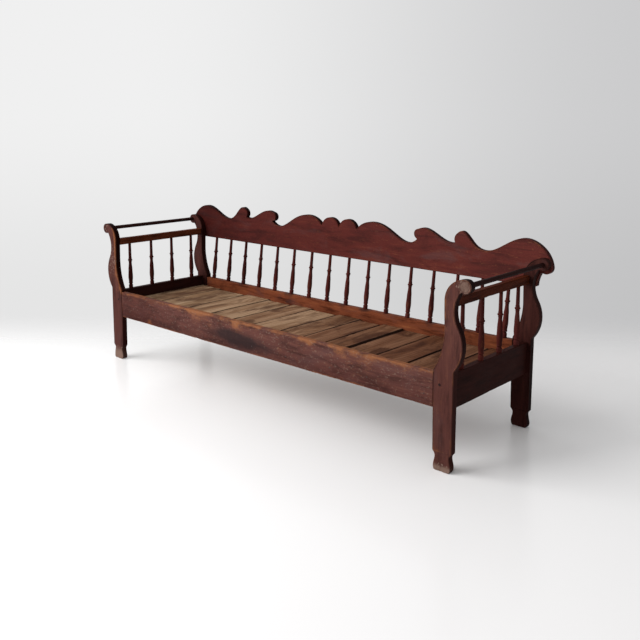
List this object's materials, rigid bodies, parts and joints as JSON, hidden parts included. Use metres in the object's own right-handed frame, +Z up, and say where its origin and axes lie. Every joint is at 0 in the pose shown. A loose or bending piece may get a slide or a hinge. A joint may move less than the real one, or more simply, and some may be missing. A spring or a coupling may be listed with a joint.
{
  "type": "pull-out bench bed",
  "caption": "Wooden bench bed with scrolled ends and a scroll-sawn crest on turned spindles; the front rail and every second seat board pull out to widen it.",
  "frame": {"origin": "middle of the bounding box's base, on the floor", "axes": "+X along the bench to the sitter's left, +Y to the back, +Z up"},
  "size_m": [2.332, 0.6586, 0.8169],
  "materials": {
    "stained_pine": "dark red-brown stain, satin, worn through at edges",
    "worn_pine": "thin orange-brown stain, satin, worn",
    "bare_pine": "unfinished sawn boards, grey with age"
  },
  "bodies": {
    "frame": {"back_ledger": "bare_pine", "back_left_post": "stained_pine", "back_rail": "worn_pine", "back_right_post": "stained_pine", "back_spindle_01": "stained_pine", "back_spindle_02": "stained_pine", "back_spindle_03": "stained_pine", "back_spindle_04": "stained_pine", "back_spindle_05": "stained_pine", "back_spindle_06": "stained_pine", "back_spindle_07": "stained_pine", "back_spindle_08": "stained_pine", "back_spindle_09": "stained_pine", "back_spindle_10": "stained_pine", "back_spindle_11": "stained_pine", "back_spindle_12": "stained_pine", "back_spindle_13": "stained_pine", "back_spindle_14": "stained_pine", "back_spindle_15": "stained_pine", "back_spindle_16": "stained_pine", "crest_board": "stained_pine", "fixed_slat_01": "bare_pine", "fixed_slat_03": "bare_pine", "fixed_slat_05": "bare_pine", "fixed_slat_07": "bare_pine", "fixed_slat_09": "bare_pine", "fixed_slat_11": "bare_pine", "fixed_slat_13": "bare_pine", "front_left_post": "stained_pine", "front_right_post": "stained_pine", "front_stretcher": "bare_pine", "left_arm_rail": "stained_pine", "left_arm_rod": "stained_pine", "left_arm_spindles": "stained_pine", "left_corner_block": "bare_pine", "left_end_rail": "stained_pine", "left_runner": "bare_pine", "post_pegs": "stained_pine", "right_arm_rail": "stained_pine", "right_arm_rod": "stained_pine", "right_arm_spindles": "stained_pine", "right_corner_block": "bare_pine", "right_end_rail": "stained_pine", "right_runner": "bare_pine"},
    "front": {"moving_slat_02": "bare_pine", "moving_slat_04": "bare_pine", "moving_slat_06": "bare_pine", "moving_slat_08": "bare_pine", "moving_slat_10": "bare_pine", "moving_slat_12": "bare_pine", "front_rail": "stained_pine", "front_cleat": "bare_pine", "rear_batten": "bare_pine", "left_leg_pivot": "bare_pine", "right_leg_pivot": "bare_pine"},
    "leg_left": {"left_fold_leg": "bare_pine"},
    "leg_right": {"right_fold_leg": "bare_pine"}
  },
  "joints": [
    {"name": "front_slide", "type": "slide", "parent": "frame", "child": "front", "axis": [0, -1, 0], "range_m": [0, 0.39]},
    {"name": "leg_left_fold", "type": "hinge", "parent": "front", "child": "leg_left", "pos_m": [-0.9585, -0.25675, 0.28], "axis": [0, 1, 0], "range_deg": [0, 90]},
    {"name": "leg_right_fold", "type": "hinge", "parent": "front", "child": "leg_right", "pos_m": [0.9585, -0.25675, 0.28], "axis": [0, -1, 0], "range_deg": [0, 90]}
  ]
}
